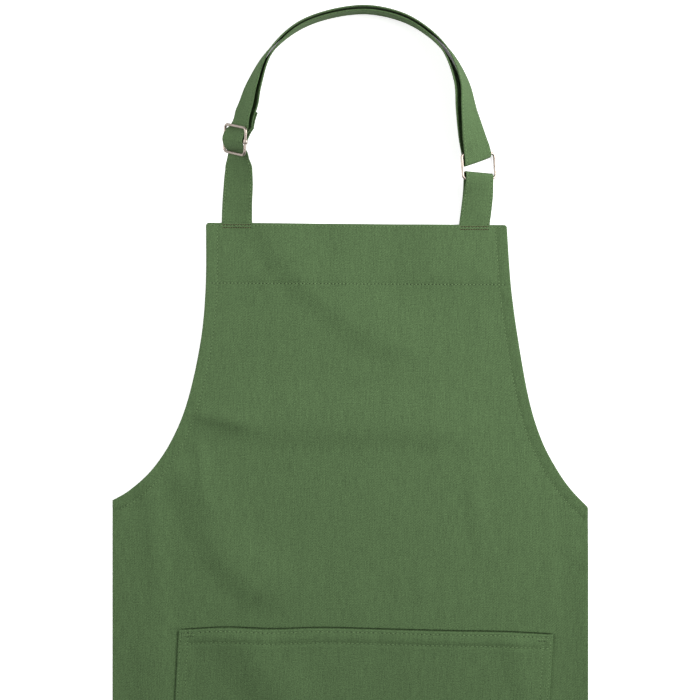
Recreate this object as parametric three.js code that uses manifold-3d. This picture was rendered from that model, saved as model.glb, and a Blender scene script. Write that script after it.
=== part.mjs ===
// Chef apron of cotton twill, lying face up: bib and skirt in one panel with its hems turned to the back,
// a wide patch pocket, and a neck strap that runs through a wire slider and turns round a wire ring.
// Millimetres, +Z up, the neck loop towards +Y. Tables give x from the middle line and y from the bib's top.

import * as THREE from "three";
import { mergeVertices } from "three/addons/utils/BufferGeometryUtils.js";
import Module from "manifold-3d";

const wasm = await Module();
wasm.setup();

const CLOTH = 1.2; // one layer of twill
const GAP = 0.35; // left between pieces that touch
const PLAY = 0.75; // more room where a strap bends round wire
const FLOOR_GAP = 0.1; // straps lie this far above the floor, so that they never reach below it

const PANEL = { width: 475, length: 800, corner: 4, columns: 24, rows: 40 };
const HEM = { top: 60, armhole: 11.5, bottom: 25 };
const BIB_EDGE = { left: 1.2, right: -1.2 }; // the top edge falls a little to one side

// Armholes: how far out each edge is at a drop below the bib's top
const ARMHOLE = [
  { drop: 60, left: -144.3, right: 160.3 },
  { drop: 116, left: -149.3, right: 167.9 },
  { drop: 176, left: -162.3, right: 178.8 },
  { drop: 216, left: -178.4, right: 191.3 },
  { drop: 246, left: -198.5, right: 206.9 },
  { drop: 266, left: -220.5, right: 221.1 },
];
const BIB_CORNER = { left: -144, right: 156.4 };
// The top hem rides up over a strap end: level to this distance aside and below, then falling to nothing
const RISE = { aside: 35, endsAside: 85, below: 40, endsBelow: 95 };
const SIDE_TOP = { left: 276, right: 283 }; // drop at which each armhole meets its side

// Soft folds of the panel: a ridge of this height along a path, fading out over the spread
const FOLDS = [
  { name: "bib diagonal", height: 3, spread: 32, path: [[-87, -6], [-42, -61], [13, -101], [82, -126]] },
  { name: "bib cross", height: 3, spread: 32, path: [[-155, -188], [-120, -191], [0, -202], [90, -204]] },
  { name: "hip", height: 3.6, spread: 30, path: [[-164, -258], [-153, -283], [-136, -328], [-85, -366]] },
  { name: "left ripple", height: 2.4, spread: 24, path: [[-198, -275], [-193, -326], [-192, -380]] },
  { name: "right ripple", height: 1.4, spread: 24, path: [[124, -265], [127, -325]] },
  { name: "left side", height: 2.2, spread: 26, path: [[-215, -420], [-213, -690]] },
  { name: "right side", height: 1.8, spread: 20, path: [[227, -380], [228, -690]] },
  { name: "lower left", height: 1.8, spread: 36, path: [[-118, -665], [-98, -800]] },
  { name: "lower right", height: 1.8, spread: 36, path: [[62, -660], [76, -800]] },
];

const POCKET = { hem: 14, gape: 7, ease: 30, columns: 22 };
const POCKET_CORNERS = {
  topLeft: new THREE.Vector2(-171.2, -405.7),
  topRight: new THREE.Vector2(202.8, -410.3),
  bottomLeft: new THREE.Vector2(-181, -606),
  bottomRight: new THREE.Vector2(191, -611),
};
const POCKET_ROWS = [0, 13, 14, 28, 50, 80, 110, 140, 170, 200]; // depth below the mouth
// The mouth's rise above the line between its corners, at equal steps
const MOUTH_RISES = [0, 2.8, 1.8, 3.6, 3.1, 2.4, 1.9, 1.7, 0];

const STRAP = { width: 30.4, thickness: 1.6, tuck: 20, divisions: 4 }; // tuck: length sewn behind the bib
const WIRE = 2.8;
const SLIDER = { width: 35.8, height: 27, corner: 4 }; // to the middle of the wire, as the ring's are
const SLIDER_BAR = { diameter: 2.6, collar: 2.35, collarLength: 4 };
const RING = { width: 36.2, height: 25, corner: 3.8 };
const LOOP_END = 35; // sewn length of the strap's end beyond the slider's bar

// Guide of the neck strap from the bib up over the loop to the ring: the middle of the strap and the tilt
// of its face, 0 lying flat and 90 standing on its outer edge
const NECK_GUIDE = [
  { x: -113.4, y: -22, z: 0.85, tilt: 0 },
  { x: -113.3, y: 0, z: 0.85, tilt: 0 },
  { x: -112.8, y: 20, z: 3.8, tilt: 9 },
  { x: -112.3, y: 40, z: 8.5, tilt: 23 },
  { x: -112.4, y: 57, z: 14.8, tilt: 40 },
  { x: -113.5, y: 67, z: 19.3, tilt: 52 },
  { x: -113.7, y: 82.6, z: 20, tilt: 53 },
  { x: -112.9, y: 98, z: 20.4, tilt: 54 },
  { x: -103.4, y: 120, z: 18, tilt: 61 },
  { x: -97.8, y: 137.6, z: 16.4, tilt: 68 },
  { x: -80, y: 168.9, z: 15.7, tilt: 83 },
  { x: -46.8, y: 197.6, z: 15.4, tilt: 90 },
  { x: 9.7, y: 212.1, z: 15.4, tilt: 90 },
  { x: 48.3, y: 204.3, z: 15.4, tilt: 90 },
  { x: 74, y: 190.5, z: 15.4, tilt: 88 },
  { x: 97.6, y: 170.8, z: 15.5, tilt: 83 },
  { x: 111.8, y: 140.5, z: 16.4, tilt: 72 },
  { x: 116.4, y: 111.1, z: 16.4, tilt: 57 },
  { x: 122.1, y: 84, z: 12.6, tilt: 36.5 },
  { x: 126.4, y: 71, z: 10.2, tilt: 24 },
  { x: 127, y: 57.3, z: 10.2, tilt: 24 },
  { x: 127.1, y: 44, z: 10.2, tilt: 24 },
];
const SLIDER_ROW = 6;
const RING_ROW = 20;
// The strap's fold in the ring is deeper on its inner edge, and the strap drifts to that side of the ring
const RING_SLANT = { share: 0.27, from: 30 };
const RING_DRIFT = { distance: 0.6, from: 40 };
// The slider sits aslant, its inner side nearer the bib, and the strap turns with it
const SLIDER_SLANT = { share: -0.12, level: 18, from: 42 };

// Guide of the ring's tab below the ring's lower bar, down to the bib
const TAB_GUIDE = [
  { x: 128.2, y: 29, z: 5.8, tilt: 11 },
  { x: 126.1, y: 12, z: 3, tilt: 3 },
  { x: 124.2, y: 0, z: 1.87, tilt: 0 },
  { x: 122.3, y: -22, z: 1.82, tilt: 0 },
];
const TAB_SLACK = 5.4; // from the ring's lower bar to the tab's folded edge
const TAB_SLANT = { share: -0.06, from: 30 }; // its fold is lower on its outer edge

const twill = new THREE.MeshStandardMaterial({ color: 0x58704c, roughness: 0.95, metalness: 0 });
const nickel = new THREE.MeshStandardMaterial({ color: 0xcdbeb4, roughness: 0.25, metalness: 1 });

const radians = THREE.MathUtils.degToRad;
const UP = new THREE.Vector3(0, 0, 1);

// A closed mesh as a solid for joining and cutting, and back again

function solid(geometry) {
  const bare = geometry.clone();
  bare.deleteAttribute("normal");
  bare.deleteAttribute("uv");
  const { index, attributes } = mergeVertices(bare, 1e-4);
  const vertProperties = attributes.position.array;
  const triVerts = new Uint32Array(index.array);
  return new wasm.Manifold(new wasm.Mesh({ numProp: 3, vertProperties, triVerts }));
}

function geometryOf(body) {
  const { vertProperties, triVerts } = body.getMesh();
  const geometry = new THREE.BufferGeometry();
  geometry.setAttribute("position", new THREE.BufferAttribute(vertProperties, 3));
  return geometry.setIndex(new THREE.BufferAttribute(triVerts, 1));
}

function moveVertices(geometry, place) {
  const position = geometry.attributes.position;
  const vertex = new THREE.Vector3();
  for (let i = 0; i < position.count; i++) {
    const to = place(vertex.fromBufferAttribute(position, i));
    position.setXYZ(i, to.x, to.y, to.z);
  }
  return geometry;
}

// Body panel

// 1 within the inner distance, falling smoothly to 0 at the outer one
const fade = (distance, inner, outer) => 1 - THREE.MathUtils.smoothstep(distance, inner, outer);

function foldHeight(fold, point) {
  const legs = fold.path.slice(1).map((end, i) => {
    const from = new THREE.Vector3(...fold.path[i], 0);
    const leg = new THREE.Line3(from, new THREE.Vector3(...end, 0));
    return leg.closestPointToPoint(point, true, new THREE.Vector3()).distanceTo(point);
  });
  return fold.height * fade(Math.min(...legs), 0, fold.spread);
}

// Strap ends that are sewn behind the top hem, which rides up over them
const STRAP_LAYERS = [
  { x: NECK_GUIDE[0].x, layers: 1 },
  { x: TAB_GUIDE.at(-1).x, layers: 2 },
];

function lift(x, y) {
  const point = new THREE.Vector3(x, y, 0);
  const folds = FOLDS.map((fold) => foldHeight(fold, point));
  const rises = STRAP_LAYERS.map(({ x: middle, layers }) => {
    const height = layers * (STRAP.thickness + GAP) + FLOOR_GAP;
    const aside = fade(Math.abs(x - middle), RISE.aside, RISE.endsAside);
    return height * aside * fade(-y, RISE.below, RISE.endsBelow);
  });
  return Math.max(...folds) + Math.max(...rises);
}

function armholePoints(side) {
  const sign = side === "left" ? -1 : 1;
  const rows = ARMHOLE.map((row) => new THREE.Vector2(row[side], -row.drop));
  return [...rows, new THREE.Vector2((sign * PANEL.width) / 2, -SIDE_TOP[side])];
}

function panelOutline() {
  const { left, right } = BIB_CORNER;
  const half = PANEL.width / 2;
  const start = new THREE.Vector2(left, BIB_EDGE.left - PANEL.corner);
  const leftArmhole = armholePoints("left").reverse();
  const shape = new THREE.Shape();
  shape.moveTo(start.x, start.y);
  shape.quadraticCurveTo(left, BIB_EDGE.left, left + PANEL.corner, BIB_EDGE.left);
  shape.lineTo(right - PANEL.corner, BIB_EDGE.right);
  shape.quadraticCurveTo(right, BIB_EDGE.right, right, BIB_EDGE.right - PANEL.corner);
  shape.splineThru(armholePoints("right"));
  shape.lineTo(half, -PANEL.length);
  shape.lineTo(-half, -PANEL.length);
  shape.lineTo(leftArmhole[0].x, leftArmhole[0].y);
  shape.splineThru([...leftArmhole.slice(1), start]);
  return shape;
}

// The part of the panel inside its hems. It runs out past the sides, which are selvedges and have no hem.
function insideHems() {
  const past = 15;
  const edge = (side) => {
    const sign = side === "left" ? -1 : 1;
    const corner = new THREE.Vector2(BIB_CORNER[side], 0);
    const curve = new THREE.SplineCurve([corner, ...armholePoints(side)]);
    const line = Array.from({ length: 25 }, (_, i) => {
      const along = curve.getTangentAt(i / 24);
      const inward = new THREE.Vector2(along.y, -along.x).multiplyScalar(sign * HEM.armhole);
      return curve.getPointAt(i / 24).add(inward);
    });
    const last = curve.getTangentAt(1).multiplyScalar(past).add(line.at(-1));
    return [...line, last].filter((point) => point.y < -HEM.top);
  };
  const beyond = PANEL.width / 2 + past;
  const bottom = HEM.bottom - PANEL.length;
  const top = (side, points) => new THREE.Vector2(points[0].x, BIB_EDGE[side] - HEM.top);
  const left = edge("left");
  const right = edge("right");
  const low = [new THREE.Vector2(beyond, bottom), new THREE.Vector2(-beyond, bottom)];
  const rightEnd = new THREE.Vector2(beyond, right.at(-1).y);
  const leftEnd = new THREE.Vector2(-beyond, left.at(-1).y);
  const below = [...right, rightEnd, ...low, leftEnd, ...left.reverse()];
  return new THREE.Shape([top("left", left), top("right", right), ...below]);
}

function prism(shape) {
  const deep = 60;
  const geometry = new THREE.ExtrudeGeometry(shape, { depth: deep, bevelEnabled: false, curveSegments: 3 });
  return solid(geometry.translate(0, 0, -deep / 2));
}

// A sheet over the whole panel between two heights, following the folds
function sheet(low, high) {
  const margin = 20;
  const width = PANEL.width + margin;
  const length = PANEL.length + margin;
  const box = new THREE.BoxGeometry(width, length, high - low, PANEL.columns, PANEL.rows, 1);
  box.translate(0, margin / 4 - PANEL.length / 2, (low + high) / 2);
  return solid(moveVertices(box, (v) => v.setZ(v.z + lift(v.x, v.y))));
}

function bodyPanel() {
  const cloth = sheet(0, 2 * CLOTH).intersect(prism(panelOutline()));
  const recess = sheet(-10, CLOTH).intersect(prism(insideHems()));
  return geometryOf(cloth.subtract(recess));
}

// Pocket: a sheet sewn to the panel at its sides and bottom, standing away from it at the mouth

function pocket() {
  const { topLeft, topRight, bottomLeft, bottomRight } = POCKET_CORNERS;
  const deepest = POCKET_ROWS.at(-1);
  const mouth = new THREE.SplineCurve(MOUTH_RISES.map((rise, i) => new THREE.Vector2(i, rise)));
  const box = new THREE.BoxGeometry(1, 1, 1, POCKET.columns, POCKET_ROWS.length - 1, 1);
  return moveVertices(box, ({ x, y, z }) => {
    const across = x + 0.5;
    const depth = POCKET_ROWS[Math.round((0.5 - y) * (POCKET_ROWS.length - 1))];
    const down = depth / deepest;
    const top = topLeft.clone().lerp(topRight, across);
    const bottom = bottomLeft.clone().lerp(bottomRight, across);
    const point = top.lerp(bottom, down);
    const rise = mouth.getPoint(across).y * (1 - down);
    const stands = POCKET.gape * Math.sin(Math.PI * across) * Math.cos((Math.PI / 2) * down);
    const hemmed = depth < POCKET.hem ? CLOTH : 0;
    const rides = CLOTH * fade(depth, POCKET.hem, POCKET.hem + POCKET.ease);
    const under = 2 * CLOTH + GAP + stands + rides;
    return new THREE.Vector3(point.x, point.y + rise, z > 0 ? under + CLOTH : under - hemmed);
  });
}

// Guides: a line with a tilt, on which straps and hardware are placed by their distance across the strap,
// along the guide and out from its face

function makeGuide(rows) {
  const line = new THREE.CatmullRomCurve3(rows.map(({ x, y, z }) => new THREE.Vector3(x, y, z)));
  const tilts = rows.map(({ tilt }) => new THREE.Vector3(tilt, 0, 0));
  const roll = new THREE.CatmullRomCurve3(tilts, false, "catmullrom");
  const stepsPerRow = 20;
  line.arcLengthDivisions = stepsPerRow * (rows.length - 1);
  const length = line.getLength();
  const rowAt = (row) => line.getLengths()[stepsPerRow * row];
  const frame = (distance) => {
    const t = line.getUtoTmapping(0, THREE.MathUtils.clamp(distance, 0, length));
    const tilt = radians(roll.getPoint(t).x);
    const along = line.getTangent(t).setZ(0).normalize();
    const inward = new THREE.Vector3(along.y, -along.x, 0);
    const across = inward.clone().multiplyScalar(Math.cos(tilt)).addScaledVector(UP, Math.sin(tilt));
    const out = inward.clone().multiplyScalar(-Math.sin(tilt)).addScaledVector(UP, Math.cos(tilt));
    return new THREE.Matrix4().makeBasis(across, along, out).setPosition(line.getPoint(t));
  };
  return { length, rowAt, frame };
}

// A strap along a route drawn on its guide's side view: x is the distance along, y is out from the face.
// The slant is how far a point moves along the guide for its distance across, and the drift moves it across.
function strapOn(guide, route, slant, drift = () => 0) {
  const points = route.getPoints(STRAP.divisions);
  const sides = points.map((point, i) => {
    const before = points[Math.max(i - 1, 0)];
    const after = points[Math.min(i + 1, points.length - 1)];
    const along = after.clone().sub(before).normalize();
    return new THREE.Vector2(-along.y, along.x).multiplyScalar(STRAP.thickness);
  });
  const box = new THREE.BoxGeometry(1, 1, 1, points.length - 1, 1, 1);
  return moveVertices(box, ({ x, y, z }) => {
    const i = Math.round((x + 0.5) * (points.length - 1));
    const spot = points[i].clone().addScaledVector(sides[i], z);
    // The face's outward side is on the left of the route, so the width runs the other way
    const across = -y * STRAP.width;
    const along = spot.x + across * slant(spot.x);
    return new THREE.Vector3(across + drift(spot.x), 0, spot.y).applyMatrix4(guide.frame(along));
  });
}

const spots = (rows) => rows.map(([along, out]) => new THREE.Vector2(along, out));

// Neck strap: weaves under, over and under the slider's bars, makes the outer layer of the loop, turns
// round the ring and comes back as the inner layer, which ends in a sewn loop on the slider's middle bar

const neckGuide = makeGuide(NECK_GUIDE);
const sliderAt = neckGuide.rowAt(SLIDER_ROW);
const ringAt = neckGuide.rowAt(RING_ROW);

function neckStrap() {
  const clear = STRAP.thickness / 2 + GAP;
  const rail = SLIDER.height / 2; // from the slider's middle to its upper and lower bars
  const under = -(WIRE / 2 + clear + PLAY);
  const around = SLIDER_BAR.diameter / 2 + clear + PLAY / 2; // radius of the sewn loop on the bar
  const over = around + 2 * clear + PLAY;
  const turn = WIRE / 2 + clear + PLAY; // radius of the turn at the ring
  const turnAt = ringAt - RING.height / 2 + (RING_SLANT.share * STRAP.width) / 2 + WIRE / 2;
  const half = (sliderAt + ringAt) / 2; // the top of the neck loop
  const layer = { top: 1.8, side: 2.5, slider: -7.4, end: -9.8 }; // how far each layer lies from the guide

  const route = new THREE.Path();
  route.moveTo(neckGuide.rowAt(1) - STRAP.tuck, 0);
  route.lineTo(neckGuide.rowAt(1), 0);
  route.splineThru(spots([
    [sliderAt - 45, -0.4],
    [sliderAt - rail - 6, under - 0.3],
    [sliderAt - rail + 1, under],
    [sliderAt - rail / 2, over / 2 - 1],
    [sliderAt, over],
    [sliderAt + rail / 2, over / 2 - 1],
    [sliderAt + rail - 1, under],
    [sliderAt + rail + 8, under],
    [sliderAt + 50, layer.side - 0.7],
    [half - 60, layer.top],
    [half, layer.top],
    [half + 60, layer.top],
    [turnAt - 60, layer.side],
    [turnAt, turn],
  ]));
  route.absarc(turnAt, 0, turn, Math.PI / 2, -Math.PI / 2, true);
  route.splineThru(spots([
    [turnAt - 40, -layer.side - 0.5],
    [turnAt - 80, -layer.side - 0.7],
    [half + 60, -layer.top],
    [half, -layer.top],
    [half - 60, -layer.top],
    [sliderAt + 60, -layer.side - 0.5],
    [sliderAt + 36, layer.slider + 1.6],
    [sliderAt + 24, layer.slider],
    [sliderAt + rail, layer.slider + 0.2],
  ]));
  const enters = radians(49);
  const leaves = radians(245);
  route.absarc(sliderAt, 0, around, enters, leaves, false);
  route.splineThru(spots([
    [sliderAt + 6, layer.end + 3.4],
    [sliderAt + rail, layer.end + 0.2],
    [sliderAt + 24, layer.end],
    [sliderAt + LOOP_END, layer.end + 1.5],
  ]));
  const { share, level, from } = SLIDER_SLANT;
  const aslant = (along) => share * fade(Math.abs(along - sliderAt), level, from);
  const slant = (along) => RING_SLANT.share * fade(turnAt - along, 0, RING_SLANT.from) + aslant(along);
  const drift = (along) =>
    RING_DRIFT.distance * fade(turnAt - along, 0, RING_DRIFT.from) - aslant(along) * (along - sliderAt);
  return strapOn(neckGuide, route, slant, drift);
}

// Wire ring and slider frame: round wire bent to a rectangle

function wireRectangle({ width, height, corner }) {
  const path = new THREE.Path();
  const [x, y] = [width / 2 - corner, height / 2 - corner];
  const quarter = Math.PI / 2;
  path.absarc(x, y, corner, 0, quarter);
  path.absarc(-x, y, corner, quarter, 2 * quarter);
  path.absarc(-x, -y, corner, 2 * quarter, 3 * quarter);
  path.absarc(x, -y, corner, 3 * quarter, 4 * quarter);
  path.closePath();
  const unit = 10; // the torus is made at a tenth of the wire's size, so that its hole stays open
  const torus = new THREE.TorusGeometry(1, WIRE / 2 / unit, 8, 48);
  return moveVertices(torus, (v) => {
    const turn = (Math.atan2(v.y, v.x) / (2 * Math.PI) + 1) % 1;
    const out = (Math.hypot(v.x, v.y) - 1) * unit;
    const along = path.getTangentAt(turn);
    const middle = path.getPointAt(turn);
    return new THREE.Vector3(middle.x + along.y * out, middle.y - along.x * out, v.z * unit);
  });
}

// The slider's middle bar: a rod with a collar at each end that slides on the frame's side
function sliderBar() {
  const { diameter, collar, collarLength } = SLIDER_BAR;
  const bore = WIRE / 2 + GAP;
  const end = SLIDER.width / 2;
  const profile = [
    [bore, -collarLength / 2],
    [collar, -collarLength / 2],
    [collar, collarLength / 2],
    [bore, collarLength / 2],
    [bore, -collarLength / 2],
  ];
  const ring = new THREE.LatheGeometry(spots(profile), 12);
  const rodLength = 2 * end - bore - collar;
  const rod = new THREE.CylinderGeometry(diameter / 2, diameter / 2, rodLength, 10).rotateZ(Math.PI / 2);
  const collars = [-end, end].map((x) => solid(ring.clone().translate(x, 0, 0)));
  return geometryOf(collars.reduce((whole, piece) => whole.add(piece), solid(rod)));
}

const sliderTurn = new THREE.Matrix4().makeRotationZ(Math.atan(SLIDER_SLANT.share));
const sliderFrame = neckGuide.frame(sliderAt).multiply(sliderTurn);
const ringFrame = neckGuide.frame(ringAt);

// Ring tab: a short strap folded round the ring's lower bar, both ends sewn behind the bib

function ringTab() {
  const bar = new THREE.Vector3(0, RING.height / 2, 0).applyMatrix4(ringFrame);
  const { tilt } = NECK_GUIDE[RING_ROW];
  const head = [TAB_SLACK + 4, 0].map((above) => ({ x: bar.x, y: bar.y + above, z: bar.z, tilt }));
  const guide = makeGuide([...head, ...TAB_GUIDE]);
  const barAt = guide.rowAt(1);
  const bib = guide.rowAt(4);
  const turn = WIRE / 2 + STRAP.thickness / 2 + GAP + PLAY;
  const foldAt = barAt - TAB_SLACK + turn;
  const sewn = (STRAP.thickness + GAP) / 2; // half the step between the two layers where they are sewn
  const route = new THREE.Path();
  route.moveTo(bib + STRAP.tuck, -sewn);
  route.lineTo(bib, -sewn);
  route.splineThru(spots([[bib - 16, -sewn - 0.2], [barAt + 14, -1.7], [barAt, -turn], [foldAt, -turn]]));
  route.absarc(foldAt, 0, turn, -Math.PI / 2, -1.5 * Math.PI, true);
  route.splineThru(spots([[barAt, turn], [barAt + 14, 1.7], [bib - 16, sewn + 0.2], [bib, sewn]]));
  route.lineTo(bib + STRAP.tuck, sewn);
  const slant = (along) => TAB_SLANT.share * fade(along - barAt, 0, TAB_SLANT.from);
  return strapOn(guide, route, slant);
}

// Assembly

const apron = new THREE.Group();

function add(name, geometry, material, frame = new THREE.Matrix4()) {
  const mesh = new THREE.Mesh(geometry, material);
  mesh.name = name;
  mesh.applyMatrix4(frame);
  apron.add(mesh);
}

add("body_panel", bodyPanel(), twill);
add("pocket", pocket(), twill);
add("neck_strap", neckStrap(), twill);
add("ring_tab", ringTab(), twill);
add("ring", wireRectangle(RING), nickel, ringFrame);
add("slider_frame", wireRectangle(SLIDER), nickel, sliderFrame);
add("slider_bar", sliderBar(), nickel, sliderFrame);

// The origin is on the floor under the middle of the whole apron
const middle = new THREE.Box3().setFromObject(apron, true).getCenter(new THREE.Vector3());
apron.position.set(-middle.x, -middle.y, 0);

export default apron;
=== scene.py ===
import functools
import math

import bmesh
import bpy
import numpy as np
from mathutils import Matrix, Vector, noise


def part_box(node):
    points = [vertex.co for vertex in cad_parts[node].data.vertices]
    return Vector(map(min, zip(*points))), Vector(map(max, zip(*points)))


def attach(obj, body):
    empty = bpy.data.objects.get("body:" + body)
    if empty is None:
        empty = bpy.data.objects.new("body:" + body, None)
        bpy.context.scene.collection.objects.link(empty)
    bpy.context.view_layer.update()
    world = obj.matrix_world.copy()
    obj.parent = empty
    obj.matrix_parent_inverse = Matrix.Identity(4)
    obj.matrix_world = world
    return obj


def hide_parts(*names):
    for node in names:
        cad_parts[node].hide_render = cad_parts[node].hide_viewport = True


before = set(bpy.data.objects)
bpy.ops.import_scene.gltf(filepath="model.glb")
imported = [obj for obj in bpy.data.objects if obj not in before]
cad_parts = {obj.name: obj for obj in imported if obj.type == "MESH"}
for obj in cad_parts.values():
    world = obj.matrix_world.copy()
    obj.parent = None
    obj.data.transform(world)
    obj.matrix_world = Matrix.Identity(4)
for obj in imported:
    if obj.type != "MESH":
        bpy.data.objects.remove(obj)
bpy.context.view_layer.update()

# Body panel: bib and skirt, one cut of cotton twill. The top, armhole and bottom edges are turned to the
# back and sewn down, and the straight sides are woven selvedges. It lies face up on the floor, in folds.
# Sizes are millimetres, x from the middle line and y from the bib's top edge. Finished pieces are metres.

CLOTH = 1.2
PANEL_WIDTH = 475
PANEL_LENGTH = 800
BIB_CORNER_ROUND = 3
BIB_TOP = {"left": (-144, 1.2), "right": (156.4, -1.2)}
TOP_SLOPE = 0.008  # the bib's top edge falls a little to the right
SIDE_TOP = {"left": 276, "right": 283}
HEM = {"top": 60, "armhole": 11.5, "bottom": 25}
ARMHOLES = {  # x of the edge at each drop below the bib's top
    "drop": (60, 116, 176, 216, 246, 266),
    "left": (-144.3, -149.3, -162.3, -178.4, -198.5, -220.5),
    "right": (160.3, 167.9, 178.8, 191.3, 206.9, 221.1),
}
# Each fold is a ridge that is steep on the right of its path and gentle on the left. It rises along the
# path's first leg and falls along the last. Columns: height, steep run, gentle run, path.
FOLDS = (
    (3.2, 24, 55, ((-115, 28), (-85, -8), (-45, -58), (-5, -92), (25, -114), (100, -135))),
    (3.4, 28, 50, ((-170, -186), (-125, -192), (-70, -201), (0, -203), (70, -204), (150, -205))),
    (2.4, 9, 16, ((-160, -189), (-148, -192), (-122, -197), (-80, -207))),
    (2.3, 10, 12, ((-158, -205), (-149, -232), (-146, -262), (-143, -300))),
    (4.4, 30, 50, ((-170, -225), (-160, -258), (-148, -283), (-130, -326), (-98, -360), (-40, -376))),
    (3.0, 18, 18, ((-208, -235), (-199, -275), (-194, -326), (-193, -420))),
    (4.6, 44, 30, ((-196, -340), (-190, -450), (-188, -640), (-188, -720))),
    (1.6, 30, 40, ((-6, 40), (-5, -4), (-3, -75))),
    (1.8, 12, 18, ((121, -235), (125, -290), (128, -350))),
    (5.4, 46, 20, ((252, -240), (254, -350), (255, -640), (255, -720))),
    (1.8, 36, 36, ((-122, -630), (-108, -720), (-98, -830))),
    (1.8, 36, 36, ((58, -630), (68, -720), (76, -830))),
)
STRAP_ENDS = ((-113.4, 2.05), (122.3, 4.0))  # x, how far the top hem rides up over the strap sewn behind it

# The pocket's mouth is given at equal steps between its corners: how far it rises above the straight line
# between them, and how far it stands off the skirt
POCKET_CORNERS = {"left": ((-171.2, -405.7), (-181, -606)), "right": ((202.8, -410.3), (191, -611))}
MOUTH_RISES = (0, 2.8, 1.8, 3.6, 3.1, 2.4, 1.9, 1.7, 0)
MOUTH_GAPES = (0, 2.6, 3.2, 3.0, 1.8, 2.4, 3.2, 2.4, 0)
MOUTH_DROP = 405.6
MOUTH_DIP = 1.5  # the skirt is drawn in along the pocket's mouth

LOW_CORNER = Vector((-PANEL_WIDTH / 2, -PANEL_LENGTH)) / 1000
SHIFT = Vector((*(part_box("body_panel")[0].xy - LOW_CORNER), 0))


def linear(code):
    parts = [((code >> shift) & 255) / 255 for shift in (16, 8, 0)]
    return (*(c / 12.92 if c <= 0.04045 else ((c + 0.055) / 1.055) ** 2.4 for c in parts), 1)


def add(tree, kind, inputs, **settings):
    made = tree.nodes.new(kind)
    for name, value in settings.items():
        setattr(made, name, value)
    for socket, value in inputs.items():
        if isinstance(value, bpy.types.NodeSocket):
            tree.links.new(value, made.inputs[socket])
        else:
            made.inputs[socket].default_value = value
    return made.outputs


def fade(distance, inner, outer):
    share = min(max((distance - inner) / (outer - inner), 0), 1)
    return 1 - share * share * (3 - 2 * share)


def spline(points, steps=24):
    ends = [points[0], *points, points[-1]]
    line = []
    for before, start, stop, after in zip(ends, ends[1:], ends[2:], ends[3:]):
        first, last = (stop - before) / 2, (after - start) / 2
        for step in range(steps):
            w = step / steps
            bend = 3 * (stop - start) - 2 * first - last + w * (2 * (start - stop) + first + last)
            line.append(start + w * (first + w * bend))
    return [*line, points[-1]]


def armhole(side):
    x, y = BIB_TOP[side]
    rows = [(edge, -drop) for drop, edge in zip(ARMHOLES["drop"], ARMHOLES[side])]
    end = math.copysign(PANEL_WIDTH / 2, x), -SIDE_TOP[side]
    return spline([Vector(p) for p in ((x, y - BIB_CORNER_ROUND), *rows, end)])


# The armhole's row of stitches runs beside its edge and out over the straight side
def armhole_seam(side):
    line = armhole(side)
    inward = 1 if side == "left" else -1
    seam = []
    for before, after in zip(line, line[1:]):
        along = (after - before).normalized()
        seam.append((before + after) / 2 + Vector((-along.y, along.x)) * HEM["armhole"] * inward)
    return [seam[0] + Vector((0, 5)), *seam, seam[-1] + along * 40]


def level(line):
    return [-p.y for p in line], [p.x for p in line]


EDGES = {side: level(armhole(side)) for side in BIB_TOP}
SEAMS = {side: level(armhole_seam(side)) for side in BIB_TOP}


def fold_height(x, y, height, steep, gentle, path):
    nearest, place, aside = max(steep, gentle), 0, 0
    for leg, ((x0, y0), (x1, y1)) in enumerate(zip(path, path[1:])):
        dx, dy = x1 - x0, y1 - y0
        share = min(max(((x - x0) * dx + (y - y0) * dy) / (dx * dx + dy * dy), 0), 1)
        distance = math.hypot(x - x0 - share * dx, y - y0 - share * dy)
        if distance < nearest:
            nearest, place = distance, leg + share
            aside = dx * (y - y0) - dy * (x - x0)
    rises = 1 - fade(min(place, len(path) - 1 - place), 0, 1)
    return height * rises * fade(nearest, 0, gentle if aside > 0 else steep)


def lift(x, y):
    folds = sum(fold_height(x, y, *fold) for fold in FOLDS)
    rises = [height * fade(abs(x - middle), 35, 85) * fade(-y, 40, 95) for middle, height in STRAP_ENDS]
    return folds + max(rises)


def top_edge(x):
    start, high = BIB_TOP["left"]
    return high - TOP_SLOPE * (x - start)


# How far a point is inside each sewn edge, counted from its row of stitches. Low down the armholes run
# aslant, and a distance across is more than the distance to the row.
def inside_hems(x, y):
    low, high = SEAMS["left"], SEAMS["right"]
    left = x - np.interp(-y, *low) if -y < low[0][-1] else 99
    right = np.interp(-y, *high) - x if -y < high[0][-1] else 99
    steep = fade(-y, 130, 280) * 0.45 + 0.55
    return left * steep, right * steep, top_edge(x) - HEM["top"] - y, y + PANEL_LENGTH - HEM["bottom"]


# A row of stitches draws the cloth down and puckers it in uneven little waves. An armhole's turned edge
# stands higher, the single cloth inside a row lies lower, and all of it sways a little.
PUCKERS = {"height": 0.16, "wave": 0.58, "drift": 0.043, "uneven": 1.6, "reach": 7}
GROOVES = ((0.3, 1.1), (0.35, 3))  # depth, reach
TURNED_SLOPE = 0.1
TROUGH = 0.55
SWAYS = ((0.45, 62, 95, 3.1), (0.3, 21, 26, 7.7))  # height, length across and down, seed


def bell(distance, reach):
    return math.exp(-((distance / reach) ** 2))


def puckered(run, distance, size):
    phase = run * size["wave"] + size["uneven"] * math.sin(run * size["drift"])
    return size["height"] * math.sin(phase) * bell(distance, size["reach"])


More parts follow.
